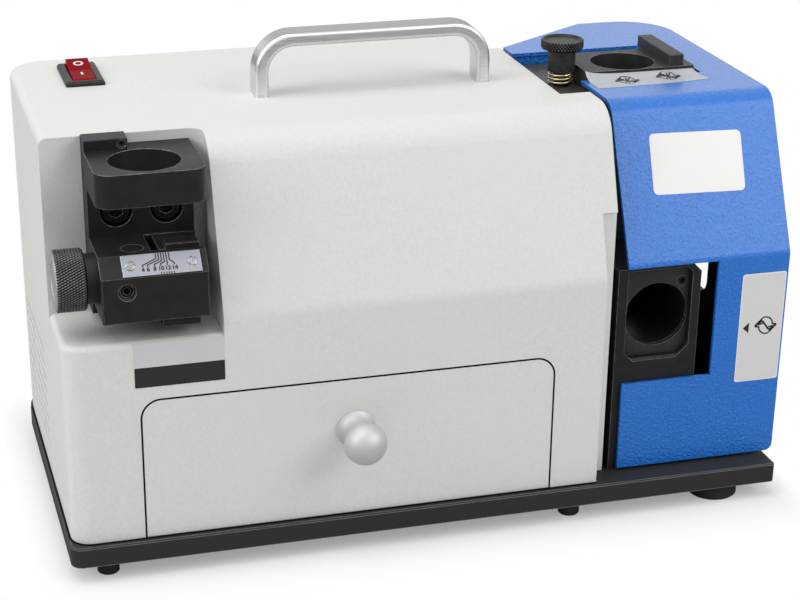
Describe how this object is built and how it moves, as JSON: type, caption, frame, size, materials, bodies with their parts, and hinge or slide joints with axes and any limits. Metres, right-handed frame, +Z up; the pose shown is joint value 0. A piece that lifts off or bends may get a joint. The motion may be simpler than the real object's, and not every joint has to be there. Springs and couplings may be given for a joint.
{
  "type": "end mill grinder",
  "caption": "Bench end mill grinder: white hammer-paint housing with a tool drawer, carrying handle, setting station with scale, motor-driven wheel and a lifting blue guard.",
  "frame": {"origin": "on the bench, under the centre of the bounding box", "axes": "+Z up, front with the drawer towards -Y, +X from the setting station to the wheel head"},
  "size_m": [0.3752, 0.2288, 0.243],
  "materials": {
    "base_paint": "satin charcoal paint",
    "foot_rubber": "moulded rubber",
    "zinc_steel": "zinc plated",
    "housing_paint": "off-white hammer paint",
    "tray_sheet": "light grey paint",
    "black_plastic": "moulded black plastic",
    "red_plastic": "translucent red plastic",
    "satin_aluminium": "satin",
    "polished_aluminium": "polished",
    "scale_aluminium": "anodised with printed marks",
    "black_oxide": "black oxide",
    "bright_steel": "ground",
    "motor_paint": "grey paint",
    "rotor_iron": "laminated iron",
    "wheel_aluminium": "turned",
    "abrasive": "resin-bonded grit",
    "spring_brass": "drawn wire",
    "guard_paint": "blue hammer paint"
  },
  "bodies": {
    "frame": {"base_plate": "base_paint", "feet_small": "foot_rubber", "feet_large": "foot_rubber", "foot_screws": "zinc_steel", "base_screws": "zinc_steel", "handle_screws": "zinc_steel", "plate_screws": "zinc_steel", "hinge_screws": "zinc_steel", "drawer_runners": "zinc_steel", "motor_shelf": "zinc_steel", "inlet_pins": "zinc_steel", "scale_screws": "zinc_steel", "housing_shell": "housing_paint", "mains_inlet": "black_plastic", "switch_body": "black_plastic", "carry_handle": "satin_aluminium", "scale_plate": "scale_aluminium", "setting_bracket": "black_oxide", "bracket_screws": "black_oxide", "block_screws": "black_oxide", "gauge_stop_bar": "black_oxide", "set_screws": "black_oxide", "setting_block": "black_oxide", "cover_plug": "black_oxide", "lock_screw": "black_oxide", "heel_block": "black_oxide", "knob_collar": "black_oxide", "head_left_plate": "black_oxide", "head_right_plate": "black_oxide", "head_back_plate": "black_oxide", "front_holder": "black_oxide", "front_face_plate": "black_oxide", "guide_posts": "bright_steel", "bearings": "bright_steel", "hinge_pin": "bright_steel", "motor_body": "motor_paint", "motor_bells": "motor_paint", "feed_spring": "spring_brass", "guard_hinge": "guard_paint"},
    "drawer": {"drawer_front": "housing_paint", "drawer_tray": "tray_sheet", "drawer_knob": "polished_aluminium", "knob_screw": "zinc_steel"},
    "rocker": {"rocker": "red_plastic"},
    "setting_knob": {"setting_knob": "black_oxide", "lead_screw": "bright_steel"},
    "slider": {"slider": "black_oxide"},
    "spindle": {"spindle_shaft": "bright_steel", "rotor": "rotor_iron", "cooling_fan": "black_plastic", "wheel_flange": "bright_steel", "wheel_body": "wheel_aluminium", "abrasive_rim": "abrasive", "wheel_nut": "bright_steel"},
    "feed_knob": {"feed_knob": "black_oxide"},
    "carrier": {"top_carrier": "black_oxide", "top_holder": "black_oxide", "top_stop_bar": "black_oxide"},
    "guard": {"guard": "guard_paint", "guard_leaf": "guard_paint"}
  },
  "joints": [
    {"name": "drawer_slide", "type": "slide", "parent": "frame", "child": "drawer", "axis": [0, -1, 0], "range_m": [0, 0.12]},
    {"name": "rocker_tilt", "type": "hinge", "parent": "frame", "child": "rocker", "pos_m": [-0.15165, 0.0634, 0.2113], "axis": [-1, 0, 0], "range_deg": [0, 12]},
    {"name": "setting_knob_turn", "type": "hinge", "parent": "frame", "child": "setting_knob", "pos_m": [-0.1865, -0.0714, 0.152], "axis": [1, 0, 0], "range_deg": [-1260, 1260]},
    {"name": "slider_slide", "type": "slide", "parent": "frame", "child": "slider", "axis": [1, 0, 0], "range_m": [-0.0035, 0.0035]},
    {"name": "spindle_spin", "type": "hinge", "parent": "frame", "child": "spindle", "pos_m": [0.08835, 0.0194, 0.121], "axis": [1, 0, 0], "continuous": true},
    {"name": "feed_knob_turn", "type": "hinge", "parent": "frame", "child": "feed_knob", "pos_m": [0.09535, 0.0194, 0.2093], "axis": [0, 0, 1], "range_deg": [-360, 360]},
    {"name": "carrier_slide", "type": "slide", "parent": "frame", "child": "carrier", "axis": [0, 0, 1], "range_m": [-0.001, 0.001], "deforming": ["feed_spring"]},
    {"name": "guard_lift", "type": "hinge", "parent": "frame", "child": "guard", "pos_m": [0.12945, 0.1028, 0.201], "axis": [-1, 0, 0], "range_deg": [0, 100]}
  ],
  "couplings": [
    {"joint": "setting_knob_turn", "follows": "slider_slide", "rad_per_m": 6283.2},
    {"joint": "feed_knob_turn", "follows": "carrier_slide", "rad_per_m": -6283.2}
  ]
}
